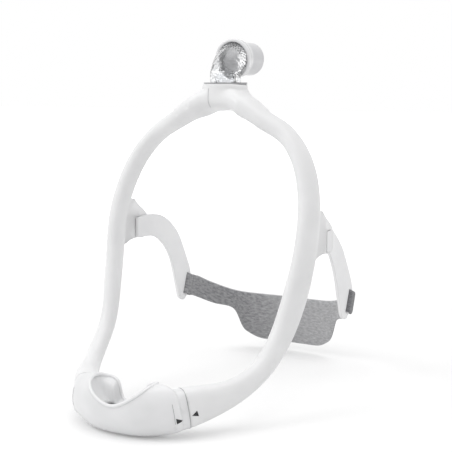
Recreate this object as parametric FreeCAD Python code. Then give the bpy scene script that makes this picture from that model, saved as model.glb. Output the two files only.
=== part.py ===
# Under-nose breathing mask with a hollow head frame, as used with a bedside pressure machine.
# Millimetres. X runs across the face, Y runs backwards, Z runs up, and the mask stands on its
# cushion. While it is drawn, y = 0 is the swivel axis in the crown; place() then moves every
# piece back by the same amount, so that the origin lies under the middle of the whole mask.

import FreeCAD, Part
import math
import os

from FreeCAD import Vector, Rotation

os.makedirs("parts", exist_ok=True)

# Overall reach from the swivel axis
front_reach = 133.3
back_reach = 99.8
axis_offset = (front_reach - back_reach) / 2.0
ground = 5.0

# Hollow silicone tube of the frame
tube_wall = 1.6
tube_width = 18.0
tube_thickness = 10.8
head_centre = Vector(0.0, -8.5, 105.0)

# Crown and its rigid socket ring
crown_top = 206.4
crown_radius = 15.0
crown_depth = 18.4
ring_radius = 13.0
ring_flange_radius = 14.3
ring_flange_height = 0.9
ring_height = 9.0
ring_floor = 1.9
socket_wall = 1.6
snap_groove_depth = 1.2
snap_groove_height = 3.0
snap_lip_height = 4.0

# Clear elbow
skirt_radius = 9.95
skirt_wall = 1.1
skirt_top = crown_top + 7.8
inner_tube_radius = skirt_radius - 2.45
inner_tube_wall = 1.1
web = 1.2
hood_wall = 1.5
hood_rise = 4.8
hood_mid_y = 4.2
hood_mid_half_width = 10.9
hood_mid_half_height = 9.6
outlet_rise = 8.8
outlet_height = skirt_top + outlet_rise
outlet_y = 13.6
outlet_radius = 12.0
seal_half_height = 0.45
seal_depth = 0.5

# Ring and cuff for the hose
hose_radius = 11.0
cuff_wall = 1.8
cuff_end_y = 33.0
collar_radius = outlet_radius + 0.6
collar_length = 2.5
collar_lap = 1.5
retaining_lip = 0.7
retaining_lip_length = 1.3

# Squeeze tabs
tab_width = 7.4
tab_leg_thickness = 0.9
tab_leg_clearance = 0.2
tab_proud = 0.3
tab_top = crown_top + 6.0
tab_bottom = crown_top + 1.4
barb_bottom = crown_top - 5.4
barb_reach = 1.0
barb_height = 1.5

# Nasal cushion
cushion_wall = 1.5
sleeve_length = 9.0
spigot_length = sleeve_length - 1.5
spigot_wall = 1.3
membrane = 1.2
nose_radius = 22.0
nose_height = 24.0
nose_y = -118.2
nose_z = 42.6
nostril_length = 22.0
nostril_width = 8.6
nostril_y = -121.0

# Side arms
arm_thickness = 2.0
wing_thickness = 2.4
wing_x = 72.0
slot_width = 7.0
slot_height = 14.5
slot_centre_y = 5.6
slot_centre_z = 106.6

# Back strap
strap_thickness = 1.7
strap_width = 15.4
pad_thickness = 3.0
buckle_slot_width = 2.8
bar_back = 6.2
loop_back = 10.5
hook_thickness = 0.8
hook_length = 3.0

# Clearances
running = 0.05
seated = 0.3


def place(shape):
    """Move a finished piece from the swivel axis to the middle of the mask, on the ground."""
    shape.translate(Vector(0.0, axis_offset, -ground))
    return shape


def export(name, shape):
    place(shape).exportStep("parts/" + name + ".step")


def mirrored(shape):
    return shape.mirror(Vector(0, 0, 0), Vector(1, 0, 0))


def superellipse(centre, wide, thick, half_wide, half_thick, power):
    """Closed section of four tangent curves, between an ellipse (power 2) and a rounded rectangle."""
    fullness = (8.0 * 2.0 ** (-1.0 / power) - 4.0) / 3.0
    corners = [(1, 0), (0, 1), (-1, 0), (0, -1)]
    edges = []
    for quarter in range(4):
        u0, v0 = corners[quarter]
        u1, v1 = corners[(quarter + 1) % 4]
        handles = [(u0, v0), (u0 + u1 * fullness, v0 + v1 * fullness),
                   (u1 + u0 * fullness, v1 + v0 * fullness), (u1, v1)]
        poles = [centre + wide * (half_wide * u) + thick * (half_thick * v) for u, v in handles]
        curve = Part.BezierCurve()
        curve.setPoles(poles)
        edges.append(curve.toShape())
    return Part.Wire(edges)


def loft(wires):
    return Part.makeLoft(wires, True, False, False, 5)


def round_loft(sections):
    return loft([superellipse(*section) for section in sections])


def hollow_loft(sections):
    """Loft for a hidden wall, through sections with twelve corners instead of a smooth outline."""
    wires = []
    for centre, wide, thick, half_wide, half_thick, power in sections:
        corners = []
        for step in range(12):
            turn = math.radians(30.0 * step + 15.0)
            u = math.copysign(abs(math.cos(turn)) ** (2.0 / power), math.cos(turn))
            v = math.copysign(abs(math.sin(turn)) ** (2.0 / power), math.sin(turn))
            corners.append(centre + wide * (half_wide * u) + thick * (half_thick * v))
        wires.append(Part.makePolygon(corners + [corners[0]]))
    return loft(wires)


def biggest(shape):
    """The main solid of a shape, without offcuts left inside a hollow."""
    return max(shape.Solids, key=lambda solid: solid.Volume)


def ring_solid(outer, inner, low, high, axis=Vector(0, 0, 1), base=Vector(0, 0, 0)):
    """Plain ring about an axis through base, from low to high along it."""
    start = base + axis * low
    body = Part.makeCylinder(outer, high - low, start, axis)
    if inner > 0:
        body = body.cut(Part.makeCylinder(inner, high - low, start, axis))
    return body


# Centreline of the right half of the tube, from the crown to the cushion joint.
# Each station is x, y, z, half the width along the head, half the thickness, and squareness.
half_width = tube_width / 2.0
half_thick = tube_thickness / 2.0
crown_half = crown_depth / 2.0
crown_mid = crown_top - 1.2 - crown_half
ring_base = crown_top - ring_height

tube_stations = [
    (0.0, 0.0, crown_mid, crown_radius, crown_half, 2.8),
    (9.5, -0.6, crown_mid - 0.6, crown_radius, crown_half - 0.2, 2.7),
    (19.0, -1.7, 193.3, crown_radius - 2.2, crown_half - 1.8, 2.4),
    (31.3, -3.5, 186.2, half_width + 1.0, half_thick + 0.6, 2.2),
    (47.0, -5.5, 175.2, half_width + 0.1, half_thick, 2.2),
    (61.1, -10.0, 158.6, half_width, half_thick, 2.2),
    (69.0, -16.3, 138.0, half_width, half_thick, 2.2),
    (71.8, -22.8, 116.2, half_width, half_thick, 2.2),
    (70.6, -28.4, 93.0, half_width, half_thick, 2.2),
    (67.8, -35.8, 71.0, half_width - 0.3, half_thick, 2.2),
    (64.0, -46.0, 50.7, half_width - 1.6, half_thick - 0.1, 2.2),
    (59.8, -63.0, 35.6, half_width - 2.3, half_thick, 2.2),
    (53.2, -80.6, 27.4, half_width - 1.4, half_thick + 0.7, 2.3),
    (43.6, -96.8, 23.5, half_width + 1.1, half_thick + 2.0, 2.8),
]
joint_point = Vector(34.8, -107.8, 21.3)
joint_direction = Vector(-0.60, -0.79, -0.14).normalize()
joint_half_height = 11.8
joint_half_depth = 8.2
joint_squareness = 3.2


def outward(point, along):
    """Direction away from the head, square to the tube."""
    hint = Vector(point.x, point.y - head_centre.y, max(0.0, point.z - head_centre.z))
    side = hint - along * hint.dot(along)
    return side.normalize()


def tube_frames(shrink, end_shrink):
    """Sections of the right half, each shrunk by a wall, crown first and joint last."""
    points = [Vector(s[0], s[1], s[2]) for s in tube_stations] + [joint_point]
    sections = []
    for index, station in enumerate(tube_stations):
        before = points[index - 1] if index > 0 else Vector(-points[1].x, points[1].y, points[1].z)
        along = (points[index + 1] - before).normalize()
        thick = outward(points[index], along)
        wide = along.cross(thick)
        sections.append((points[index], wide, thick, station[3] - shrink, station[4] - shrink, station[5]))
    sections.append(joint_section(0.0, end_shrink))
    return sections


def joint_section(ahead, shrink):
    """Section of the joint, moved ahead towards the cushion and shrunk by a wall."""
    centre = joint_point + joint_direction * ahead
    thick = outward(joint_point, joint_direction)
    wide = joint_direction.cross(thick)
    return (centre, wide, thick, joint_half_height - shrink, joint_half_depth - shrink, joint_squareness)


def flipped(section):
    """The same section on the left side, with its points in the matching order."""
    centre, wide, thick, half_w, half_t, power = section
    flip = lambda v: Vector(-v.x, v.y, v.z)
    return (flip(centre), flip(wide), flip(thick), half_w, half_t, power)


def both_sides(right):
    """Sections from the left end, over the middle, to the right end."""
    return [flipped(section) for section in reversed(right[1:])] + right


def prism(section, length, direction):
    return Part.Face(superellipse(*section)).extrude(direction * length)


def tube_cavity():
    """Air way of the tube, a wall thickness inside it and open into the bores of the spigots."""
    return hollow_loft(both_sides(tube_frames(tube_wall, cushion_wall + seated + spigot_wall)))


def wing():
    """Flat ear behind the right tube with the slot for the side arm."""
    outline = [
        (-24.0, 128.5), (-4.4, 127.2), (-0.8, 123.8), (3.0, 121.0), (7.0, 118.4), (11.4, 114.4),
        (12.2, 111.5), (12.2, 101.5), (10.6, 99.4), (5.0, 98.6), (-3.0, 99.4), (-9.5, 98.8),
        (-14.5, 97.2), (-30.0, 93.0),
    ]
    points = [Vector(wing_x - wing_thickness / 2.0, y, z) for y, z in outline]
    face = Part.Face(Part.makePolygon(points + [points[0]]))
    plate = face.extrude(Vector(wing_thickness, 0, 0))
    hole = rounded_box(wing_x - 3.0, wing_x + 3.0, slot_centre_y - slot_width / 2.0,
                       slot_centre_y + slot_width / 2.0, slot_centre_z - slot_height / 2.0,
                       slot_centre_z + slot_height / 2.0, 1.6)
    return plate, hole


def rounded_box(x0, x1, y0, y1, z0, z1, radius):
    """Box with its edges along X rounded."""
    box = Part.makeBox(x1 - x0, y1 - y0, z1 - z0, Vector(x0, y0, z0))
    edges = [e for e in box.Edges if abs(e.tangentAt(e.FirstParameter).x) > 0.99]
    return box.makeFillet(radius, edges)


def frame():
    """Hollow frame: tube, crown with its seat, side ears with slots, and a spigot at each end."""
    body = round_loft(both_sides(tube_frames(0.0, 0.0)))
    collar = Part.makeCylinder(crown_radius, 5.0, Vector(0, 0, crown_top - 5.0))
    rim = [e for e in collar.Edges if abs(e.BoundBox.ZMax - crown_top) < 0.01 and e.BoundBox.ZLength < 0.01]
    collar = collar.makeFillet(1.0, rim)
    body = body.fuse(collar)
    plate, hole = wing()
    for ear, slot in ((plate, hole), (mirrored(plate), mirrored(hole))):
        body = body.fuse(ear).cut(slot)
    spigot = prism(joint_section(0.0, cushion_wall + seated), spigot_length, joint_direction)
    body = body.fuse(spigot).fuse(mirrored(spigot))
    body = body.cut(tube_cavity())
    bore = prism(joint_section(0.0, cushion_wall + seated + spigot_wall), spigot_length, joint_direction)
    body = body.cut(bore).cut(mirrored(bore))
    socket = Part.makeCylinder(ring_radius + seated + socket_wall, ring_height + socket_wall - 1.0,
                               Vector(0, 0, ring_base - socket_wall))
    seat = Part.makeCylinder(ring_radius + seated, ring_height + 1.0, Vector(0, 0, ring_base))
    way_down = Part.makeCylinder(skirt_radius - 0.6, 4.0, Vector(0, 0, ring_base - 3.0))
    return biggest(body.fuse(socket).cut(seat).cut(way_down))


def crown_socket_ring():
    """Rigid ring in the crown: flange, snap lip, groove for the barbs and a floor with a bore."""
    top = crown_top + ring_flange_height
    bore = skirt_radius + running
    groove_top = top - snap_lip_height
    groove_bottom = groove_top - snap_groove_height
    body = ring_solid(ring_radius, 0.0, ring_base, crown_top)
    body = body.fuse(ring_solid(ring_flange_radius, 0.0, crown_top, top))
    body = body.cut(Part.makeCylinder(bore, top - ring_base - ring_floor, Vector(0, 0, ring_base + ring_floor)))
    body = body.cut(Part.makeCylinder(bore + snap_groove_depth, snap_groove_height, Vector(0, 0, groove_bottom)))
    return body.cut(Part.makeCylinder(inner_tube_radius + running, ring_floor, Vector(0, 0, ring_base)))


def hood_sections(shrink):
    """Round sections that turn from the upright skirt to the level outlet."""
    across = Vector(1, 0, 0)
    back = Vector(0, 1, 0)
    tilted = Vector(0, 0.72, -0.70).normalize()
    down = Vector(0, 0, -1)
    skirt = skirt_radius - shrink
    outlet = outlet_radius - shrink
    return [
        (Vector(0, 0, skirt_top), across, back, skirt, skirt, 2.0),
        (Vector(0, hood_mid_y, skirt_top + hood_rise), across, tilted, hood_mid_half_width - shrink,
         hood_mid_half_height - shrink, 2.0),
        (Vector(0, outlet_y, outlet_height), across, down, outlet, outlet, 2.0),
    ]


seal_height = ring_base + ring_floor / 2.0


def elbow_body():
    """Clear elbow: hood, skirt with a window for each tab, and the inner tube with its seal groove."""
    skirt_bottom = ring_base + ring_floor + 0.3
    outer = round_loft(hood_sections(0.0))
    outer = outer.fuse(prism(hood_sections(0.0)[0], skirt_top - skirt_bottom, Vector(0, 0, -1)))
    inner = round_loft(hood_sections(hood_wall))
    tube_bottom = ring_base + 0.4
    ring_gap = Part.makeCylinder(skirt_radius - skirt_wall, skirt_top - web - skirt_bottom, Vector(0, 0, skirt_bottom))
    core = Part.makeCylinder(inner_tube_radius, skirt_top - tube_bottom, Vector(0, 0, tube_bottom))
    body = outer.cut(inner).cut(ring_gap).fuse(core)
    body = body.cut(Part.makeCylinder(inner_tube_radius - inner_tube_wall, skirt_top + 1.0 - tube_bottom,
                                      Vector(0, 0, tube_bottom)))
    bore = hose_radius - 0.1
    body = body.cut(Part.makeCylinder(bore, 3.0, Vector(0, outlet_y - 3.0, outlet_height), Vector(0, 1, 0)))
    window_half = tab_width / 2.0 + seated
    window_low = skirt_bottom - 1.0
    window = Part.makeBox(6.0, 2.0 * window_half, tab_top + seated - window_low,
                          Vector(inner_tube_radius + 0.2, -window_half, window_low))
    groove_half = seal_half_height + 0.1
    seal_groove = ring_solid(inner_tube_radius + 1.0, inner_tube_radius - seal_depth, seal_height - groove_half,
                             seal_height + groove_half)
    return body.cut(window).cut(mirrored(window)).cut(seal_groove)


def elbow_seal():
    """Soft ring in the groove of the inner tube, which wipes the bore of the socket ring."""
    return ring_solid(inner_tube_radius + 0.02, inner_tube_radius - seal_depth, seal_height - seal_half_height,
                      seal_height + seal_half_height)


def collar_ring():
    axis = Vector(0, 1, 0)
    base = Vector(0, 0, outlet_height)
    body = ring_solid(collar_radius, 0.0, outlet_y - collar_lap, outlet_y + collar_length, axis, base)
    body = body.cut(Part.makeCylinder(outlet_radius + 0.1, collar_lap, base + axis * (outlet_y - collar_lap), axis))
    body = body.cut(Part.makeCylinder(hose_radius - 1.0, collar_length, base + axis * outlet_y, axis))
    edges = [e for e in body.Edges if abs(e.BoundBox.YMax - outlet_y - collar_length) < 0.01
             and e.BoundBox.YLength < 0.01 and e.BoundBox.XMax > collar_radius - 0.1]
    return body.makeChamfer(0.6, edges)


def hose_cuff():
    axis = Vector(0, 1, 0)
    base = Vector(0, 0, outlet_height)
    neck = hose_radius - 1.0 - running
    step = outlet_y + collar_length + seated
    body = ring_solid(hose_radius, 0.0, step, cuff_end_y, axis, base)
    body = body.fuse(ring_solid(neck, 0.0, outlet_y - 1.8, step, axis, base))
    body = body.fuse(ring_solid(neck + retaining_lip, 0.0, outlet_y - 1.8, outlet_y - 1.8 + retaining_lip_length, axis, base))
    return body.cut(Part.makeCylinder(hose_radius - cuff_wall - 0.8, cuff_end_y, base, axis))


def release_tab():
    """Right squeeze tab: finger pad flush with the skirt, leg down its window, barb below."""
    leg_inner = skirt_radius - tab_leg_clearance - tab_leg_thickness
    blank = Part.makeBox(6.0, tab_width, tab_top - barb_bottom, Vector(leg_inner, -tab_width / 2.0, barb_bottom))
    pad = blank.common(Part.makeCylinder(skirt_radius + tab_proud, tab_top - tab_bottom, Vector(0, 0, tab_bottom)))
    barb = blank.common(Part.makeCylinder(skirt_radius - tab_leg_clearance + barb_reach, barb_height,
                                          Vector(0, 0, barb_bottom)))
    leg = blank.common(Part.makeCylinder(skirt_radius - tab_leg_clearance, tab_bottom - barb_bottom,
                                         Vector(0, 0, barb_bottom)))
    return pad.fuse(leg).fuse(barb).removeSplitter()


def nose(grow):
    """Rounded form of the nose that hollows the top of the cushion."""
    ball = Part.makeSphere(1.0)
    matrix = FreeCAD.Matrix()
    matrix.scale(nose_radius + grow, nose_radius + grow, nose_height + grow)
    body = ball.transformGeometry(matrix)
    body.translate(Vector(0, nose_y, nose_z))
    return body


# Right half of the cushion, from its middle to the sleeve: x, y, height of the underside above the
# ground, half the height and half the depth.
cushion_stations = [
    (0.0, -121.8, 0.0, 14.2, 11.3),
    (10.0, -121.2, 0.15, 15.8, 11.8),
    (20.0, -118.2, 0.6, 15.3, 10.8),
    (27.0, -115.2, 1.8, 14.7, 10.0),
]
hump_end = 5.0


def cushion_sections(shrink):
    """Sections of the cradle, from its middle out to the sleeves, each shrunk by a wall."""
    right = []
    for index, (x, y, rise, half_high, half_deep) in enumerate(cushion_stations):
        after = cushion_stations[index + 1] if index + 1 < len(cushion_stations) else None
        if index == 0:
            along = Vector(-1, 0, 0)
        elif after:
            before = cushion_stations[index - 1]
            along = Vector(before[0] - after[0], before[1] - after[1], 0).normalize()
        else:
            along = joint_direction
        thick = outward(Vector(x, y, half_high), along)
        wide = along.cross(thick)
        lift = ground + rise + half_high
        right.append((Vector(x, y, lift), wide, thick, half_high - shrink, half_deep - shrink, 2.3))
    right.append(joint_section(hump_end, shrink))
    return both_sides(right)


def nasal_cushion():
    """Hollow cradle: outer wall, membrane under the nose, nostril opening and two end sleeves."""
    body = round_loft(cushion_sections(0.0))
    cavity = hollow_loft(cushion_sections(cushion_wall))
    sleeve = prism(joint_section(0.0, 0.0), sleeve_length, joint_direction)
    socket = prism(joint_section(-1.0, cushion_wall), sleeve_length + 1.0, joint_direction)
    for piece in (sleeve, mirrored(sleeve)):
        body = body.fuse(piece)
    body = body.cut(nose(0.0))
    cavity = cavity.cut(nose(membrane))
    body = body.cut(cavity)
    for piece in (socket, mirrored(socket)):
        body = body.cut(piece)
    half = nostril_width / 2.0
    reach = (nostril_length - nostril_width) / 2.0
    low = nose_z - nose_height - 5.0
    opening = Part.makeBox(2.0 * reach, nostril_width, 16.0, Vector(-reach, nostril_y - half, low))
    for side in (-1, 1):
        opening = opening.fuse(Part.makeCylinder(half, 16.0, Vector(side * reach, nostril_y, low)))
    return body.cut(opening)


# Right arm. Its edge in side view, y and z, runs from the end plate over the top, round the tip
# and back under; its plan, x and y, runs from front to back.
arm_edge = [
    (-3.6, 113.4), (8.0, 114.6), (19.6, 113.6), (31.9, 106.9), (42.1, 97.6), (49.1, 87.0), (55.1, 76.1),
    (59.6, 65.0), (58.8, 58.0), (54.8, 50.2), (49.4, 46.4), (44.4, 48.6), (41.2, 55.5), (38.8, 62.8),
    (35.6, 72.5), (31.3, 82.2), (24.7, 91.2), (14.8, 98.4), (8.0, 99.4), (-3.6, 99.8),
]
arm_plan = [(69.5, -6.0), (69.4, 3.0), (68.9, 9.5), (67.4, 18.0), (65.9, 27.0), (65.4, 38.0), (65.75, 50.0),
            (65.75, 66.0)]
slot_axis = Vector(0.0, 0.355, 0.935)
buckle_x = 65.75
buckle_middle = Vector(buckle_x, 53.0, 58.4)


def smooth(points):
    curve = Part.BSplineCurve()
    curve.interpolate(points)
    return curve.toShape()


def side_arm():
    """Flexible arm: end plate and boss at the wing, bent strip, and a strap slot at the lower end."""
    edge = smooth([Vector(0, y, z) for y, z in arm_edge])
    front = Part.makeLine(edge.Vertexes[-1].Point, edge.Vertexes[0].Point)
    face = Part.Face(Part.Wire([edge, front]))
    slab = face.extrude(Vector(100.0, 0, 0))
    half = arm_thickness / 2.0
    inner = smooth([Vector(x - half, y, 0) for x, y in arm_plan])
    outer = smooth([Vector(x + half, y, 0) for x, y in arm_plan])
    start = Part.makeLine(inner.Vertexes[0].Point, outer.Vertexes[0].Point)
    end = Part.makeLine(inner.Vertexes[-1].Point, outer.Vertexes[-1].Point)
    band = Part.Face(Part.Wire(Part.__sortEdges__([inner, end, outer, start]))).extrude(Vector(0, 0, 200.0))
    body = slab.common(band)
    boss = rounded_box(arm_plan[0][0] + half - 0.4, wing_x + wing_thickness / 2.0 + 0.3,
                       slot_centre_y - slot_width / 2.0 + seated, slot_centre_y + slot_width / 2.0 - seated,
                       slot_centre_z - slot_height / 2.0 + seated, slot_centre_z + slot_height / 2.0 - seated, 1.3)
    body = body.fuse(boss)
    slot = rounded_box(-20.0, 20.0, -buckle_slot_width / 2.0, buckle_slot_width / 2.0,
                       -strap_width / 2.0 - 0.4, strap_width / 2.0 + 0.4, 0.8)
    return body.cut(at_buckle(slot))


def at_buckle(shape):
    """Turn a shape drawn about the origin into the slot of the right arm, its Z along the slot."""
    shape.rotate(Vector(0, 0, 0), Vector(1, 0, 0), -math.degrees(math.atan2(slot_axis.y, slot_axis.z)))
    shape.translate(buckle_middle)
    return shape


def strap_loop():
    """Strap end that passes out through the slot and back round the rear bar of the arm."""
    inside = arm_thickness / 2.0 + 0.35
    outside = inside + strap_thickness
    front = strap_thickness / 2.0
    loop = rounded_strip(-outside, outside, -front, loop_back, 2.2)
    window = rounded_strip(-inside, inside, front, bar_back, 0.9)
    return at_buckle(loop.cut(window))


def rounded_strip(x0, x1, y0, y1, radius):
    """Upright block as high as the strap is wide, with its upright edges rounded."""
    box = Part.makeBox(x1 - x0, y1 - y0, strap_width, Vector(x0, y0, -strap_width / 2.0))
    edges = [e for e in box.Edges if abs(e.tangentAt(e.FirstParameter).z) > 0.99]
    return box.makeFillet(radius, edges)


# Right half of the strap, from the middle of the pad to the arm. Each station gives the x, y and z
# of the upper edge, then of the lower edge, and the thickness.
strap_stations = [
    ((0.0, 89.0, 48.4), (0.0, 98.3, 11.1), pad_thickness),
    ((17.0, 88.7, 48.3), (17.0, 97.4, 11.3), pad_thickness),
    ((27.0, 88.2, 48.3), (27.0, 95.6, 12.6), pad_thickness),
    ((33.5, 87.6, 48.5), (33.5, 93.0, 16.2), pad_thickness),
    ((38.0, 86.6, 49.0), (38.0, 90.6, 22.0), pad_thickness),
    ((41.0, 85.6, 49.6), (41.0, 88.4, 31.0), pad_thickness - 0.3),
    ((45.0, 83.8, 50.8), (45.0, 85.0, 36.4), strap_thickness + 0.3),
    ((52.0, 78.8, 54.0), (51.6, 78.0, 39.0), strap_thickness),
    ((58.6, 72.0, 58.2), (58.0, 69.6, 43.0), strap_thickness),
    ((62.8, 64.6, 62.4), (62.6, 60.2, 47.6), strap_thickness),
]


def hook_tab():
    """Strip of hook tape sewn into the end of the strap, behind the rear bar of the arm."""
    half = hook_thickness / 2.0
    start = bar_back + 0.6
    return at_buckle(Part.makeBox(hook_thickness, hook_length, strap_width, Vector(-half, start, -strap_width / 2.0)))


def back_strap():
    """Knitted strap with its padded back and a loop round the rear bar of each arm."""
    right = []
    for index, (top, bottom, thickness) in enumerate(strap_stations):
        before = strap_stations[max(0, index - 1)]
        after = strap_stations[min(len(strap_stations) - 1, index + 1)]
        run = Vector(*after[0]) - Vector(*before[0])
        if index == 0:
            run = Vector(1, 0, 0)
        run.z = 0.0
        normal = Vector(-run.y, run.x, 0).normalize() * (thickness / 2.0)
        high = Vector(*top)
        low = Vector(*bottom)
        right.append([high + normal, high - normal, low - normal, low + normal])
    left = [[Vector(-p.x, p.y, p.z) for p in corners] for corners in right[1:]]
    wires = [Part.makePolygon(corners + [corners[0]]) for corners in list(reversed(left)) + right]
    body = Part.makeLoft(wires, True, True)
    loop = strap_loop().cut(hook_tab())
    return body.fuse(loop).fuse(mirrored(loop)).removeSplitter()


def build():
    export("frame", frame())
    export("crown_socket_ring", crown_socket_ring())
    export("elbow_body", elbow_body())
    export("elbow_seal", elbow_seal())
    export("collar_ring", collar_ring())
    export("hose_cuff", hose_cuff())
    export("release_tab_right", release_tab())
    export("release_tab_left", mirrored(release_tab()))
    export("nasal_cushion", nasal_cushion())
    export("arm_right", side_arm())
    export("arm_left", mirrored(side_arm()))
    export("back_strap", back_strap())
    export("hook_tab_right", hook_tab())
    export("hook_tab_left", mirrored(hook_tab()))


build()
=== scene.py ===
import math

import bmesh
import bpy
import numpy as np
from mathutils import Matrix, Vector
from mathutils.bvhtree import BVHTree

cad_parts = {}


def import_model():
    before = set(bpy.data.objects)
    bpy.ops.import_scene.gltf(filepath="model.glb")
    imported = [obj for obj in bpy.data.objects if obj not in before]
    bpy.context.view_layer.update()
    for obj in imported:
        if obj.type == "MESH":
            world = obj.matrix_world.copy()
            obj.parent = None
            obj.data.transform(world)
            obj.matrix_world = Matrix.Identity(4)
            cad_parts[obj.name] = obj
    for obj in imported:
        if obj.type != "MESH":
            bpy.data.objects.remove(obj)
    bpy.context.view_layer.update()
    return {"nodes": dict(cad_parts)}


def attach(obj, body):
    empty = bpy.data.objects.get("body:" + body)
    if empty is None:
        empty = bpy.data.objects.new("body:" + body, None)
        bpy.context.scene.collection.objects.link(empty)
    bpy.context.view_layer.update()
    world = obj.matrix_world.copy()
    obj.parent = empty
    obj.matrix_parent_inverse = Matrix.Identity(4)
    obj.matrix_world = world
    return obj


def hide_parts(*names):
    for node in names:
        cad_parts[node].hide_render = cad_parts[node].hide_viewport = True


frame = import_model()
nodes = frame["nodes"]

# Places and sizes in millimetres of the drawn frame: y = 0 is the swivel axis and the ground is at z = 5
AXIS_OFFSET = 16.75
GROUND = 5.0
OUTLET_HEIGHT = 223.0
JOINT_POINT = Vector((34.8, -107.8, 21.3))
JOINT_DIRECTION = Vector((-0.60, -0.79, -0.14)).normalized()
JOINT_OUTWARDS = Vector((0.79, -0.60, 0.0))
NOSE_CENTRE = Vector((0.0, -118.2, 42.6))
NOSE_RADII = Vector((22.0, 22.0, 24.0))

# Back strap: upper point, lower point and thickness from its middle out to the right arm
STRAP_WIDTH = 15.4
STRAP_THICKNESS = 1.7
PAD_THICKNESS = 3.0
STRAP_STATIONS = [
    ((0.0, 89.0, 48.4), (0.0, 98.3, 11.1), PAD_THICKNESS),
    ((17.0, 88.7, 48.3), (17.0, 97.4, 11.3), PAD_THICKNESS),
    ((27.0, 88.2, 48.3), (27.0, 95.6, 12.6), PAD_THICKNESS),
    ((33.5, 87.6, 48.5), (33.5, 93.0, 16.2), PAD_THICKNESS),
    ((38.0, 86.6, 49.0), (38.0, 90.6, 22.0), PAD_THICKNESS),
    ((41.0, 85.6, 49.6), (41.0, 88.4, 31.0), PAD_THICKNESS - 0.3),
    ((45.0, 83.8, 50.8), (45.0, 85.0, 36.4), STRAP_THICKNESS + 0.3),
    ((52.0, 78.8, 54.0), (51.6, 78.0, 39.0), STRAP_THICKNESS),
    ((58.6, 72.0, 58.2), (58.0, 69.6, 43.0), STRAP_THICKNESS),
    ((62.8, 64.6, 62.4), (62.6, 60.2, 47.6), STRAP_THICKNESS),
    ((63.5, 61.2, 63.6), (63.5, 55.7, 49.2), STRAP_THICKNESS),
]
STRAP_COLUMNS = 181

# Fold of the strap round an arm's rear bar: how far outwards and backwards from the bar's middle
BUCKLE_MIDDLE = Vector((65.75, 53.0, 58.4))
SLOT_AXIS = Vector((0.0, 0.355, 0.935)).normalized()
LOOP_PATH = [
    (-2.5, 8.4), (-2.3, 6.9), (-2.2, 5.0), (-2.2, 2.8), (-2.1, 1.4), (-1.4, 0.4), (-0.5, 0.05), (0.5, 0.05),
    (1.4, 0.4), (2.1, 1.4), (2.2, 2.8), (2.2, 5.0), (1.9, 6.9), (0.8, 8.8), (-0.4, 10.2),
]
LOOP_COLUMNS = 76
BAND_STEPS = 22

# Trim, in metres
LIP_RADIUS = 0.00112
LIP_SINK = 0.0006
STRAP_EDGE_RADIUS = 0.00042
JOINT_SEAM_RADIUS = 0.00020
SPIGOT_LINE_RADIUS = 0.00014
CROWN_SEAM_RADIUS = 0.00012
SEAM_SPACING = 0.0008
MARK_LIFT = 0.00006

# Vent holes of the elbow
VENT_ROWS = 4
VENTS_IN_ROW = 30
VENT_OUTER = 0.00036
VENT_INNER = 0.00020
VENT_DEPTH = 0.0005
VENT_LIFT = 0.00003

# Light
WORLD_LIGHT = 0.82
FLOOR_LIFT = 0.17
WHITE = (1.0, 1.0, 1.0, 1.0)


def place(point):
    """A point of the drawn frame in millimetres, as a place in the row frame in metres."""
    return Vector((point[0], point[1] + AXIS_OFFSET, point[2] - GROUND)) / 1000.0


def drawn(point):
    """A place of the row frame in metres, as x, y and z of the drawn frame in millimetres."""
    return point.x * 1000.0, point.y * 1000.0 - AXIS_OFFSET, point.z * 1000.0 + GROUND


def mirrored(point):
    return Vector((-point[0], point[1], point[2]))


def unchanged(point):
    return point


def smooth_rise(value, low, high):
    """Smooth rise from 0 at low to 1 at high."""
    share = min(max((value - low) / (high - low), 0.0), 1.0)
    return share * share * (3.0 - 2.0 * share)


# Materials

def principled(name):
    material = bpy.data.materials.new(name)
    material.use_nodes = True
    tree = material.node_tree
    return material, tree, tree.nodes["Principled BSDF"]


def node(tree, kind, **values):
    """A new shader node; a value goes to the socket of that name, or else to the node's own setting."""
    new = tree.nodes.new(kind)
    for key, value in values.items():
        if key in new.inputs.keys():
            new.inputs[key].default_value = value
        else:
            setattr(new, key, value)
    return new


def object_coordinates(tree):
    return node(tree, "ShaderNodeTexCoord").outputs["Object"]


def noise(tree, coordinates, scale, detail=3.0, rough=0.5):
    texture = node(tree, "ShaderNodeTexNoise", Scale=scale, Detail=detail, Roughness=rough)
    tree.links.new(coordinates, texture.inputs["Vector"])
    return texture.outputs["Fac"]


def ramp(tree, factor, low, high, start=0.3, end=0.7):
    colours = tree.nodes.new("ShaderNodeValToRGB")
    colours.color_ramp.elements[0].position = start
    colours.color_ramp.elements[0].color = (*low, 1.0)
    colours.color_ramp.elements[1].position = end
    colours.color_ramp.elements[1].color = (*high, 1.0)
    tree.links.new(factor, colours.inputs["Fac"])
    return colours.outputs["Color"]


def map_range(tree, factor, from_min, from_max, to_min, to_max, kind="LINEAR"):
    mapped = node(tree, "ShaderNodeMapRange", interpolation_type=kind)
    sockets = ("From Min", "From Max", "To Min", "To Max")
    for socket, value in zip(sockets, (from_min, from_max, to_min, to_max)):
        mapped.inputs[socket].default_value = value
    tree.links.new(factor, mapped.inputs["Value"])
    return mapped.outputs["Result"]


def math_node(tree, operation, first, second=None, third=None):
    worked = tree.nodes.new("ShaderNodeMath")
    worked.operation = operation
    for index, value in enumerate((first, second, third)):
        if value is None:
            continue
        if isinstance(value, (int, float)):
            worked.inputs[index].default_value = value
        else:
            tree.links.new(value, worked.inputs[index])
    return worked.outputs[0]


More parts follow.
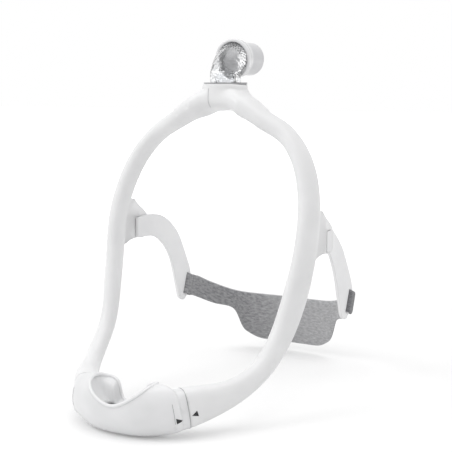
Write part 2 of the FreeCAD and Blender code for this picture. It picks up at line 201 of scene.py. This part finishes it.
def bump(tree, bsdf, height, strength, distance, round_edges=0.0):
    relief = node(tree, "ShaderNodeBump", Strength=strength, Distance=distance)
    tree.links.new(height, relief.inputs["Height"])
    if round_edges > 0:
        bevel = node(tree, "ShaderNodeBevel", Radius=round_edges, samples=4)
        tree.links.new(bevel.outputs["Normal"], relief.inputs["Normal"])
    tree.links.new(relief.outputs["Normal"], bsdf.inputs["Normal"])


def seen_directly(tree):
    """1 for rays from the camera and for those that glossy or clear pieces pass on, and 0 for light."""
    path = tree.nodes.new("ShaderNodeLightPath")
    passed_on = math_node(tree, "MAXIMUM", path.outputs["Is Glossy Ray"], path.outputs["Is Transmission Ray"])
    return math_node(tree, "MAXIMUM", path.outputs["Is Camera Ray"], passed_on)


def moulded(name, low, high, rough_low, rough_high, grain=2600.0, strength=0.08, soft=0.0, coat=0.0,
            round_edges=0.0):
    """Moulded plastic or silicone: faint cloudiness, uneven gloss and a fine satin grain."""
    material, tree, bsdf = principled(name)
    where = object_coordinates(tree)
    gloss = map_range(tree, noise(tree, where, 240.0), 0.0, 1.0, rough_low, rough_high)
    tree.links.new(ramp(tree, noise(tree, where, 55.0, 2.0), low, high), bsdf.inputs["Base Color"])
    tree.links.new(gloss, bsdf.inputs["Roughness"])
    bump(tree, bsdf, noise(tree, where, grain, 2.0), strength, 0.0002, round_edges)
    if soft > 0:
        bsdf.inputs["Subsurface Weight"].default_value = soft
        bsdf.inputs["Subsurface Radius"].default_value = (1.0, 1.0, 1.0)
        bsdf.inputs["Subsurface Scale"].default_value = 0.003
    if coat > 0:
        bsdf.inputs["Coat Weight"].default_value = coat
        bsdf.inputs["Coat Roughness"].default_value = 0.25
    return material


def clear_plastic(name, tint, rough_low, rough_high, ripple=0.12):
    """Clear moulded plastic, slightly tinted, with a rippled surface."""
    material, tree, bsdf = principled(name)
    where = object_coordinates(tree)
    colour = ramp(tree, noise(tree, where, 120.0, 2.0), tint, (0.97, 0.975, 0.98))
    gloss = map_range(tree, noise(tree, where, 500.0), 0.0, 1.0, rough_low, rough_high)
    tree.links.new(colour, bsdf.inputs["Base Color"])
    tree.links.new(gloss, bsdf.inputs["Roughness"])
    bump(tree, bsdf, noise(tree, where, 420.0, 1.0), ripple, 0.0006)
    bsdf.inputs["Transmission Weight"].default_value = 1.0
    bsdf.inputs["IOR"].default_value = 1.52
    return material


def knit(name, dark, light, diagonal, painted_light_rise=0.0):
    """Knitted fabric in UV millimetres: stitches, heathered yarn, and painted light that lightens it along
    the strap from the left end.
    """
    material, tree, bsdf = principled(name)
    uv = node(tree, "ShaderNodeUVMap", uv_map="strap_mm").outputs["UV"]
    split = tree.nodes.new("ShaderNodeSeparateXYZ")
    tree.links.new(uv, split.inputs[0])
    along, across = split.outputs[0], split.outputs[1]
    wale = math_node(tree, "PINGPONG", across, 0.55)
    if diagonal:
        lengthwise = math_node(tree, "MULTIPLY", along, 0.95)
        phase = math_node(tree, "ADD", lengthwise, math_node(tree, "MULTIPLY", across, 0.85))
        rib = math_node(tree, "SINE", math_node(tree, "MULTIPLY", phase, 4.4))
    else:
        phase = math_node(tree, "ADD", along, wale)
        rib = math_node(tree, "SINE", math_node(tree, "MULTIPLY", phase, 7.2))
    stitch = math_node(tree, "MULTIPLY_ADD", rib, 0.5, 0.5)

    turned = node(tree, "ShaderNodeMapping")
    turned.inputs["Rotation"].default_value = (0.0, 0.0, -0.75)
    turned.inputs["Scale"].default_value = (0.22, 0.50, 1.0)
    tree.links.new(uv, turned.inputs["Vector"])
    mottle = noise(tree, turned.outputs["Vector"], 1.3, 3.0, 0.6)
    yarn = noise(tree, uv, 3.2, 2.0)
    heather = math_node(tree, "MULTIPLY_ADD", yarn, 0.40, math_node(tree, "MULTIPLY", mottle, 0.62))
    shade = math_node(tree, "MULTIPLY_ADD", stitch, 0.10, math_node(tree, "SUBTRACT", heather, 0.05))
    # Painted light: the colour lightens along the strap past 45 mm, standing in for the side light that falls
    # on the inner face.
    painted_light_along = map_range(tree, along, 45.0, 110.0, 0.0, painted_light_rise, "SMOOTHSTEP")
    shade = math_node(tree, "ADD", shade, painted_light_along)
    tree.links.new(ramp(tree, shade, dark, light, 0.36, 0.86), bsdf.inputs["Base Color"])
    tree.links.new(map_range(tree, yarn, 0.0, 1.0, 0.78, 0.95), bsdf.inputs["Roughness"])

    raised = math_node(tree, "MULTIPLY", stitch, 0.6)
    height = math_node(tree, "ADD", raised, math_node(tree, "MULTIPLY", wale, 0.8))
    height = math_node(tree, "MULTIPLY_ADD", yarn, 0.5, height)
    bump(tree, bsdf, height, 0.55, 0.0003)
    bsdf.inputs["Sheen Weight"].default_value = 0.35
    bsdf.inputs["Sheen Roughness"].default_value = 0.5
    return material


silicone = moulded("frame_silicone", (0.79, 0.79, 0.795), (0.83, 0.83, 0.835), 0.36, 0.48,
                   soft=0.35, coat=0.12)
cushion_silicone = moulded("cushion_silicone", (0.77, 0.775, 0.78), (0.82, 0.82, 0.83), 0.28, 0.40,
                           soft=0.45, coat=0.25)
arm_plastic = moulded("arm_plastic", (0.81, 0.81, 0.82), (0.85, 0.85, 0.855), 0.35, 0.5,
                      soft=0.3, round_edges=0.0006)
# Painted shade: the socket ring is a real part, coloured dark grey to stand in for the shadow gap between the
# elbow and the crown.
socket_ring_shade = moulded("socket_plastic", (0.30, 0.30, 0.31), (0.40, 0.40, 0.41), 0.30, 0.45)
white_plastic = moulded("white_plastic", (0.78, 0.78, 0.79), (0.82, 0.82, 0.83), 0.12, 0.22,
                        coat=0.3, round_edges=0.0003)
cuff_plastic = moulded("cuff_plastic", (0.62, 0.62, 0.635), (0.68, 0.68, 0.69), 0.28, 0.4,
                       round_edges=0.0004)
seal_rubber = moulded("seal_rubber", (0.26, 0.27, 0.28), (0.32, 0.33, 0.34), 0.5, 0.7)
hook_tape = moulded("hook_tape", (0.16, 0.16, 0.17), (0.24, 0.24, 0.25), 0.6, 0.8,
                    grain=3200.0, strength=0.6)
mark_ink = moulded("mark_ink", (0.010, 0.010, 0.011), (0.022, 0.022, 0.024), 0.5, 0.65)
seam_shade = moulded("seam_shade", (0.30, 0.30, 0.31), (0.38, 0.38, 0.39), 0.5, 0.65)
seam_faint = moulded("seam_faint", (0.58, 0.58, 0.59), (0.64, 0.64, 0.65), 0.5, 0.65)
clear = clear_plastic("clear_plastic", (0.91, 0.915, 0.925), 0.01, 0.05)
clear_hood = clear_plastic("clear_hood", (0.88, 0.885, 0.895), 0.01, 0.04, ripple=0.4)
vent_shade = moulded("vent_shade", (0.05, 0.05, 0.055), (0.10, 0.10, 0.105), 0.3, 0.5)
# The inner knit carries painted light: its colour lightens along the strap.
knit_inner = knit("knit_inner", (0.155, 0.155, 0.165), (0.62, 0.62, 0.63), False, painted_light_rise=0.17)
knit_outer = knit("knit_outer", (0.11, 0.11, 0.12), (0.33, 0.33, 0.34), True)
strap_piping = moulded("strap_piping", (0.48, 0.48, 0.49), (0.62, 0.62, 0.63), 0.7, 0.9,
                       grain=3000.0, strength=0.4)

finishes = {
    "frame": silicone,
    "nasal_cushion": cushion_silicone,
    "arm_right": arm_plastic,
    "arm_left": arm_plastic,
    "crown_socket_ring": socket_ring_shade,
    "elbow_body": clear_hood,
    "elbow_seal": seal_rubber,
    "collar_ring": white_plastic,
    "hose_cuff": cuff_plastic,
    "release_tab_right": clear,
    "release_tab_left": clear,
    "hook_tab_right": hook_tape,
    "hook_tab_left": hook_tape,
}
for name, material in finishes.items():
    mesh = nodes[name].data
    mesh.materials.clear()
    mesh.materials.append(material)


# Pieces and lines

def add_piece(name, mesh, material, body):
    """A finished piece with one material, smooth and riding on a body."""
    thing = bpy.data.objects.new(name, mesh)
    bpy.context.scene.collection.objects.link(thing)
    if material is not None:
        mesh.materials.append(material)
    for polygon in mesh.polygons:
        polygon.use_smooth = True
    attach(thing, body)
    return thing


def add_from(name, copy, material, body):
    """A piece from a bmesh, which is freed."""
    mesh = bpy.data.meshes.new(name)
    copy.to_mesh(mesh)
    copy.free()
    return add_piece(name, mesh, material, body)


def tube(name, points, radius, material, closed=False):
    """Thin round bead along points given in metres."""
    curve = bpy.data.curves.new(name + "_line", "CURVE")
    curve.dimensions = "3D"
    curve.bevel_depth = radius
    curve.bevel_resolution = 3
    curve.use_fill_caps = True
    spline = curve.splines.new("POLY")
    spline.points.add(len(points) - 1)
    for corner, point in zip(spline.points, points):
        corner.co = (*point, 1.0)
    spline.use_cyclic_u = closed
    holder = bpy.data.objects.new(name + "_line", curve)
    bpy.context.scene.collection.objects.link(holder)
    bpy.context.view_layer.update()
    shown = holder.evaluated_get(bpy.context.evaluated_depsgraph_get())
    mesh = bpy.data.meshes.new_from_object(shown)
    bpy.data.objects.remove(holder)
    bpy.data.curves.remove(curve)
    mesh.name = name
    mesh.materials.clear()
    return add_piece(name, mesh, material, "mask_body")


def surface(thing):
    """A merged copy of a piece's mesh, for finding lines and places on it."""
    copy = bmesh.new()
    copy.from_mesh(thing.data)
    bmesh.ops.remove_doubles(copy, verts=copy.verts, dist=1e-6)
    copy.normal_update()
    return copy


def rounded_ends(edge):
    """The two ends of an edge, rounded so that equal places compare as equal."""
    return tuple(tuple(round(c, 7) for c in vert.co) for vert in edge.verts)


def chains(edges):
    """Edges joined end to end, as lists of places."""
    near = {}
    for a, b in edges:
        near.setdefault(a, []).append(b)
        near.setdefault(b, []).append(a)
    unused = {frozenset(edge) for edge in edges}
    found = []
    while unused:
        a, b = tuple(next(iter(sorted(unused, key=lambda edge: sorted(edge)))))
        unused.discard(frozenset((a, b)))
        line = [a, b]
        for end in (-1, 0):
            while True:
                last = line[end]
                onward = [other for other in near[last] if frozenset((last, other)) in unused]
                if not onward:
                    break
                unused.discard(frozenset((last, onward[0])))
                if end == -1:
                    line.append(onward[0])
                else:
                    line.insert(0, onward[0])
        found.append(line)
    return found


def resampled(points, spacing, closed):
    """Points evenly spaced along a line, and lightly smoothed where it is closed."""
    points = [np.array(p) for p in points]
    if closed:
        points.append(points[0])
    gaps = [np.linalg.norm(b - a) for a, b in zip(points, points[1:])]
    lengths = np.concatenate([[0.0], np.cumsum(gaps)])
    count = max(8, int(lengths[-1] / spacing))
    wanted = np.linspace(0.0, lengths[-1], count + 1)
    table = np.array(points)
    even = np.stack([np.interp(wanted, lengths, table[:, k]) for k in range(3)], axis=1)
    if closed:
        even = even[:-1]
        for _ in range(4):
            even = (np.roll(even, 1, 0) + 2 * even + np.roll(even, -1, 0)) / 4.0
    return [Vector(p) for p in even]


def line_length(line):
    return sum((Vector(b) - Vector(a)).length for a, b in zip(line, line[1:]))


def cut_line(thing, point, normal, keep):
    """The longest outline where a plane cuts a piece, among the points that keep() accepts."""
    copy = surface(thing)
    everything = copy.verts[:] + copy.edges[:] + copy.faces[:]
    cut = bmesh.ops.bisect_plane(copy, geom=everything, dist=1e-7, plane_co=place(point), plane_no=normal)
    edges = []
    for item in cut["geom_cut"]:
        if isinstance(item, bmesh.types.BMEdge):
            a, b = rounded_ends(item)
            if a != b and keep(Vector(a)) and keep(Vector(b)):
                edges.append((a, b))
    copy.free()
    return max(chains(edges), key=line_length)


# Back strap

def cubic(places, values, wanted):
    """Natural cubic spline through values at the given places."""
    x, y = np.array(places, float), np.array(values, float)
    count = len(x)
    gap = np.diff(x)
    matrix = np.eye(count)
    right = np.zeros((count, y.shape[1]))
    for i in range(1, count - 1):
        matrix[i, i - 1] = gap[i - 1]
        matrix[i, i] = 2.0 * (gap[i - 1] + gap[i])
        matrix[i, i + 1] = gap[i]
        right[i] = 6.0 * ((y[i + 1] - y[i]) / gap[i] - (y[i] - y[i - 1]) / gap[i - 1])
    bend = np.linalg.solve(matrix, right)
    result = []
    for value in wanted:
        i = int(min(max(np.searchsorted(x, value) - 1, 0), count - 2))
        h, a, b = gap[i], x[i + 1] - value, value - x[i]
        curved = bend[i] * a ** 3 / (6 * h) + bend[i + 1] * b ** 3 / (6 * h)
        straight = (y[i] / h - bend[i] * h / 6) * a + (y[i + 1] / h - bend[i + 1] * h / 6) * b
        result.append(curved + straight)
    return np.array(result)


def band(columns):
    """Fabric band from columns of upper point, lower point, outward normal and thickness.

    The outer side has index 0 in the last list and the inner side has index 1.
    """
    points, uvs, faces, sides = [], [], [], []
    length = 0.0
    before = None
    for top, bottom, normal, thickness in columns:
        middle = (top + bottom) / 2.0
        if before is not None:
            length += (middle - before).length
        before = middle
        width = (bottom - top).length
        for corner in range(2 * BAND_STEPS):
            outer_side = corner < BAND_STEPS
            sign = 1.0 if outer_side else -1.0
            angle = math.pi * (corner % BAND_STEPS) / BAND_STEPS
            share = (1.0 - sign * math.cos(angle)) / 2.0
            half = thickness / 2.0 * (1.0 - abs(2.0 * share - 1.0) ** 7) ** 0.5
            points.append(top.lerp(bottom, share) + normal * (sign * half))
            uvs.append((length, share * width))
    ring = 2 * BAND_STEPS
    for column in range(len(columns) - 1):
        for corner in range(ring):
            a = column * ring + corner
            b = column * ring + (corner + 1) % ring
            faces.append((a, b, b + ring, a + ring))
            sides.append(0 if corner < BAND_STEPS else 1)
    last = (len(columns) - 1) * ring
    faces.append(tuple(reversed(range(ring))))
    faces.append(tuple(range(last, last + ring)))
    sides += [0, 0]
    return points, uvs, faces, sides


def strap_columns():
    """Columns of the strap from the left arm to the right arm."""
    stations = [((-t[0], t[1], t[2]), (-b[0], b[1], b[2]), h) for t, b, h in reversed(STRAP_STATIONS[1:])]
    stations += STRAP_STATIONS
    middles = [(Vector(top) + Vector(bottom)) / 2.0 for top, bottom, _ in stations]
    places = [0.0]
    for before, after in zip(middles, middles[1:]):
        places.append(places[-1] + (after - before).xy.length)
    values = [(*top, *bottom, thickness) for top, bottom, thickness in stations]
    rows = cubic(places, values, np.linspace(0.0, places[-1], STRAP_COLUMNS))
    columns = []
    for i, row in enumerate(rows):
        run = rows[min(i + 1, len(rows) - 1)] - rows[max(i - 1, 0)]
        normal = Vector((-(run[1] + run[4]), run[0] + run[3], 0.0)).normalized()
        columns.append((Vector(row[0:3]), Vector(row[3:6]), normal, float(row[6])))
    return columns


def loop_columns(side):
    """Fold of the strap through the slot of an arm and back round its rear bar."""
    rows = cubic(range(len(LOOP_PATH)), LOOP_PATH, np.linspace(0, len(LOOP_PATH) - 1, LOOP_COLUMNS))
    back = Vector((0.0, SLOT_AXIS.z, -SLOT_AXIS.y))
    half = SLOT_AXIS * (STRAP_WIDTH / 2.0)
    turn = unchanged if side > 0 else mirrored
    columns = []
    for i, (x, y) in enumerate(rows):
        run = rows[min(i + 1, len(rows) - 1)] - rows[max(i - 1, 0)]
        normal = -(Vector((-run[1], 0.0, 0.0)) + back * float(run[0])).normalized()
        middle = BUCKLE_MIDDLE + Vector((float(x), 0.0, 0.0)) + back * float(y)
        columns.append((turn(middle + half), turn(middle - half), turn(normal), STRAP_THICKNESS - 0.1))
    return columns if side > 0 else list(reversed(columns))


def back_strap():
    """Knitted strap with its padded back and a folded loop at each arm, in one mesh."""
    points, uvs, faces, sides = band(strap_columns())
    for side in (1, -1):
        loop_points, loop_uvs, loop_faces, loop_sides = band(loop_columns(side))
        # The part of a loop that comes from the pad shows the inner knit on both sides
        count = len(loop_sides)
        loop_sides = [1 if i * 7 < count * 3 else 0 for i in range(count)]
        if side < 0:
            loop_sides.reverse()
        start = len(points)
        points += loop_points
        uvs += loop_uvs
        faces += [tuple(start + i for i in face) for face in loop_faces]
        sides += loop_sides
    mesh = bpy.data.meshes.new("back_strap_knit")
    mesh.from_pydata([place(p) for p in points], [], faces)
    mesh.update()
    layer = mesh.uv_layers.new(name="strap_mm")
    for corner in mesh.loops:
        layer.data[corner.index].uv = uvs[corner.vertex_index]
    mesh.materials.append(knit_outer)
    mesh.materials.append(knit_inner)
    for polygon, side in zip(mesh.polygons, sides):
        polygon.material_index = side
    return add_piece("back_strap_knit", mesh, None, "mask_body")


strap = back_strap()
edge_line = [place(column[0] + Vector((0.0, 0.0, -0.1))) for column in strap_columns()[6:-6]]
edge_cord = tube("strap_edge", edge_line, STRAP_EDGE_RADIUS, strap_piping)
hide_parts("back_strap")


# Frame and cushion with their soft forms

def crown_shift(point):
    """The tubes leave the crown a little lower and further forward, and the crown's underside is arched."""
    x, y, z = drawn(point)
    upper = smooth_rise(z, 120.0, 150.0)
    collar = (1.0 - smooth_rise(math.hypot(x, y), 12.8, 16.0)) * smooth_rise(z, 196.0, 202.0)
    beside = smooth_rise(abs(x), 9.0, 18.0) * (1.0 - smooth_rise(abs(x), 30.0, 50.0))
    shoulder = beside * upper * (1.0 - collar)
    under = (1.0 - smooth_rise(abs(x), 6.0, 16.0)) * (1.0 - smooth_rise(z, 190.0, 199.0)) * upper
    return Vector((0.0, -3.0 * shoulder, 2.0 * under - 2.2 * shoulder)) / 1000.0


def cushion_shift(point):
    """The cushion's rear wall rises in a dome on either side of the nose."""
    x, y, z = drawn(point)
    dome = smooth_rise(abs(x), 7.0, 11.0) * (1.0 - smooth_rise(abs(x), 11.5, 23.0))
    rise = 7.1 * dome * smooth_rise(y, -119.0, -113.5) * smooth_rise(z, 12.0, 22.0)
    return Vector((0.0, 0.0, rise / 1000.0))


def crown_region(x, y, z):
    return abs(x) < 52.0 and z > 160.0


def collar_foot(x, y, z):
    return 12.75 < math.hypot(x, y) < 24.0 and 189.0 < z < 202.5


def rear_wall(x, y, z):
    return abs(x) < 26.0 and y > -121.0 and z > 10.0


def reshaped(name, node_name, shift, region, longest, material, faired=None):
    """A copy of a node's mesh with finer facets in a region, moved by a field and faired where asked."""
    copy = surface(nodes[node_name])
    for _ in range(6):
        long_edges = []
        for edge in copy.edges:
            middle = (edge.verts[0].co + edge.verts[1].co) / 2.0
            if edge.calc_length() > longest and region(*drawn(middle)):
                long_edges.append(edge)
        if not long_edges:
            break
        bmesh.ops.subdivide_edges(copy, edges=long_edges, cuts=1)
        bmesh.ops.triangulate(copy, faces=[f for f in copy.faces if len(f.verts) > 3])
    for vert in copy.verts:
        vert.co += shift(vert.co)
    if faired is not None:
        soft = [v for v in copy.verts if faired(*drawn(v.co))]
        for _ in range(14):
            bmesh.ops.smooth_vert(copy, verts=soft, factor=0.5, use_axis_x=True, use_axis_y=True,
                                  use_axis_z=True)
    thing = add_from(name, copy, material, "mask_body")
    thing.data.set_sharp_from_angle(angle=math.radians(38.0))
    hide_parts(node_name)
    return thing


frame_skin = reshaped("frame_skin", "frame", crown_shift, crown_region, 0.0022, silicone, collar_foot)
cushion_skin = reshaped("cushion_skin", "nasal_cushion", cushion_shift, rear_wall, 0.0016, cushion_silicone)


# Lip and seams

def cushion_rim():
    """Rim of the cushion's opening: folded edges that lie on the nose's ellipsoid."""
    copy = surface(nodes["nasal_cushion"])
    centre, radii = place(NOSE_CENTRE), NOSE_RADII / 1000.0
    edges = []
    for edge in copy.edges:
        if len(edge.link_faces) != 2 or edge.calc_face_angle(0.0) < 0.35:
            continue
        away = [vert.co - centre for vert in edge.verts]
        reach = [math.sqrt(sum((part / radius) ** 2 for part, radius in zip(a, radii))) for a in away]
        low = min(vert.co.z for vert in edge.verts)
        central = max(abs(a.x) for a in away) < 0.0135 and abs(away[0].y) < 0.008
        hole_edge = central and low < 0.0195
        if all(abs(r - 1.0) < 0.004 for r in reach) and low > 0.012 and not hole_edge:
            edges.append(rounded_ends(edge))
    copy.free()
    return max(chains(edges), key=len)


def joint_lines(side, word, joint_shade):
    """Seam between a limb and the cushion's sleeve, and the line where the spigot ends in front."""
    turn = unchanged if side > 0 else mirrored
    outwards = turn(JOINT_OUTWARDS)

    def outline(ahead):
        point = turn(JOINT_POINT + JOINT_DIRECTION * ahead)
        middle = place(point)
        line = cut_line(nodes["nasal_cushion"], point, turn(JOINT_DIRECTION),
                        lambda p: (p - middle).length < 0.018)
        return middle, resampled(line, SEAM_SPACING, True)

    middle, line = outline(0.12)
    tube("joint_seam_" + word, line, JOINT_SEAM_RADIUS, joint_shade, closed=True)
    middle, line = outline(9.3)
    start = min(range(len(line)), key=lambda i: (line[i] - middle).dot(outwards))
    line = line[start:] + line[:start]
    front = [p for p in line if (p - middle).dot(outwards) > 0.004 and 0.0095 < p.z < 0.0225]
    tube("spigot_line_" + word, front, SPIGOT_LINE_RADIUS, seam_shade)


rim = [p + cushion_shift(p) + Vector((0.0, 0.0, -LIP_SINK)) for p in resampled(cushion_rim(), 0.0010, True)]
tube("cushion_lip", rim, LIP_RADIUS, cushion_silicone, closed=True)
joint_lines(1, "right", seam_shade)
joint_lines(-1, "left", seam_faint)
seam = cut_line(frame_skin, (-4.4, 0.0, 195.0), Vector((1.0, 0.0, 0.0)),
                lambda p: 0.1838 < p.z < 0.1985 and p.y < 0.006)
tube("crown_seam", resampled(seam, SEAM_SPACING, False), CROWN_SEAM_RADIUS, seam_shade)


# Vent holes

def ring_points(copy, centre, across, other, radius):
    turns = [2.0 * math.pi * k / 10.0 for k in range(10)]
    return [copy.verts.new(centre + (across * math.cos(t) + other * math.sin(t)) * radius) for t in turns]


def elbow_vents():
    """Vent holes in rows round the hood, each a short ring let into its wall."""
    hood = surface(nodes["elbow_body"])
    hood_tree = BVHTree.FromBMesh(hood)
    vents = bmesh.new()
    for row in range(VENT_ROWS):
        start = place((0.0, 6.2 + 1.5 * row, 221.4 + 0.35 * row))
        for index in range(VENTS_IN_ROW):
            angle = 2.0 * math.pi * (index + 0.5 * (row % 2)) / VENTS_IN_ROW
            if math.cos(angle) < -0.55:
                continue
            outwards = Vector((math.sin(angle), -0.25, math.cos(angle))).normalized()
            hit, normal, _, _ = hood_tree.ray_cast(start + outwards * 0.03, -outwards)
            if hit is None:
                continue
            across = normal.orthogonal().normalized()
            other = normal.cross(across)
            front = hit + normal * VENT_LIFT
            rear = hit - normal * VENT_DEPTH
            profile = ((front, VENT_OUTER), (rear, VENT_OUTER), (rear, VENT_INNER), (front, VENT_INNER))
            rings = [ring_points(vents, centre, across, other, radius) for centre, radius in profile]
            join_rings(vents, rings)
    hood.free()
    add_from("elbow_vents", vents, vent_shade, "elbow")


def join_rings(copy, rings):
    """Faces between closed rings of points, from each ring to the next and from the last to the first."""
    for one, two in zip(rings, rings[1:] + rings[:1]):
        for k in range(len(one)):
            after = (k + 1) % len(one)
            copy.faces.new((one[k], one[after], two[after], two[k]))


elbow_vents()


# Printed arrow marks either side of the right joint

def mark(name, node_name, corners, towards):
    """Small printed mark that lies on a node, from the corners of its outline."""
    copy = surface(nodes[node_name])
    tree = BVHTree.FromBMesh(copy)
    flat = bmesh.new()
    flat.faces.new([flat.verts.new(place(c)) for c in corners])
    bmesh.ops.triangulate(flat, faces=flat.faces[:])
    bmesh.ops.subdivide_edges(flat, edges=flat.edges[:], cuts=7, use_grid_fill=True)
    for vert in flat.verts:
        hit, normal, _, _ = tree.ray_cast(vert.co - towards * 0.02, towards)
        if hit is not None:
            vert.co = hit + normal * MARK_LIFT
    copy.free()
    add_from(name, flat, mark_ink, "mask_body")


inwards = -JOINT_OUTWARDS.normalized()
sleeve_arrow = [(36.86, -119.84, 18.62), (39.04, -116.02, 17.21), (36.97, -119.1, 15.19)]
tube_arrow = [(42.45, -111.61, 18.96), (44.37, -109.2, 21.71), (45.09, -108.4, 18.41)]
mark("sleeve_mark", "nasal_cushion", sleeve_arrow, inwards)
mark("tube_mark", "frame", tube_arrow, inwards)


# Ring that laps the hood's end

def turned_ring(name, profile, height, material, body):
    """Ring turned about the outlet's level axis from a closed profile of radius and y in millimetres."""
    copy = bmesh.new()
    rings = []
    for index in range(72):
        angle = 2.0 * math.pi * index / 72.0
        across, up = math.sin(angle), math.cos(angle)
        rings.append([copy.verts.new(place((r * across, y, height + r * up))) for r, y in profile])
    join_rings(copy, rings)
    bmesh.ops.recalc_face_normals(copy, faces=copy.faces[:])
    return add_from(name, copy, material, body)


lap_profile = [(10.9, 8.9), (11.1, 8.6), (12.7, 8.6), (13.0, 8.9), (13.0, 12.3), (12.8, 12.5), (10.9, 12.5)]
turned_ring("collar_lap", lap_profile, OUTLET_HEIGHT, white_plastic, "elbow")


# Stage, lights and camera

def floor():
    """Pale floor that grows to plain white away from the object."""
    bpy.ops.mesh.primitive_plane_add(size=12.0, location=(0.0, 0.0, -0.0003))
    thing = bpy.context.object
    thing.name = "studio_floor"
    material, tree, bsdf = principled("studio_floor")
    where = object_coordinates(tree)
    shade = ramp(tree, noise(tree, where, 3.0), (0.80, 0.80, 0.80), (0.82, 0.82, 0.82))
    tree.links.new(shade, bsdf.inputs["Base Color"])
    bsdf.inputs["Roughness"].default_value = 0.9
    bsdf.inputs["Specular IOR Level"].default_value = 0.1
    bsdf.inputs["Emission Color"].default_value = WHITE
    away = tree.nodes.new("ShaderNodeVectorMath")
    away.operation = "LENGTH"
    tree.links.new(where, away.inputs[0])
    lift = map_range(tree, away.outputs["Value"], 0.35, 1.2, FLOOR_LIFT, 1.0)
    tree.links.new(math_node(tree, "MULTIPLY", seen_directly(tree), lift), bsdf.inputs["Emission Strength"])
    thing.data.materials.append(material)


def world():
    """Even light all round, seen as plain white."""
    scene = bpy.context.scene
    scene.world = bpy.data.worlds.new("studio")
    scene.world.use_nodes = True
    tree = scene.world.node_tree
    background = tree.nodes["Background"]
    background.inputs["Color"].default_value = WHITE
    strength = math_node(tree, "MULTIPLY_ADD", seen_directly(tree), 1.0 - WORLD_LIGHT, WORLD_LIGHT)
    tree.links.new(strength, background.inputs["Strength"])


def lamp(name, spot, size, energy):
    """Round soft lamp that faces the middle of the object."""
    light = bpy.data.lights.new(name, "AREA")
    light.shape = "DISK"
    light.size = size
    light.energy = energy
    thing = bpy.data.objects.new(name, light)
    bpy.context.scene.collection.objects.link(thing)
    thing.location = spot
    aim = Vector((0.0, 0.0, 0.1))
    thing.rotation_euler = (aim - Vector(spot)).to_track_quat("-Z", "Y").to_euler()


def camera():
    """The photo's view: 30 degrees round from the front and 7.8 degrees down."""
    data = bpy.data.cameras.new("camera")
    data.sensor_width = 36.0
    data.lens = 1050.0 / 452.0 * 36.0
    data.clip_start = 0.01
    data.clip_end = 50.0
    thing = bpy.data.objects.new("camera", data)
    bpy.context.scene.collection.objects.link(thing)
    thing.location = (0.3485, -0.58625, 0.2025)
    turn, down = math.radians(30.0), math.radians(7.8)
    level = math.cos(down)
    forward = Vector((-math.sin(turn) * level, math.cos(turn) * level, -math.sin(down)))
    thing.rotation_euler = forward.to_track_quat("-Z", "Y").to_euler()
    bpy.context.scene.camera = thing


floor()
world()
lamp("key_left", (-1.3, -1.1, 1.5), 1.2, 10.5)
lamp("top", (0.1, 0.1, 1.8), 1.4, 6.0)
camera()
bpy.context.scene.view_settings.view_transform = "Standard"
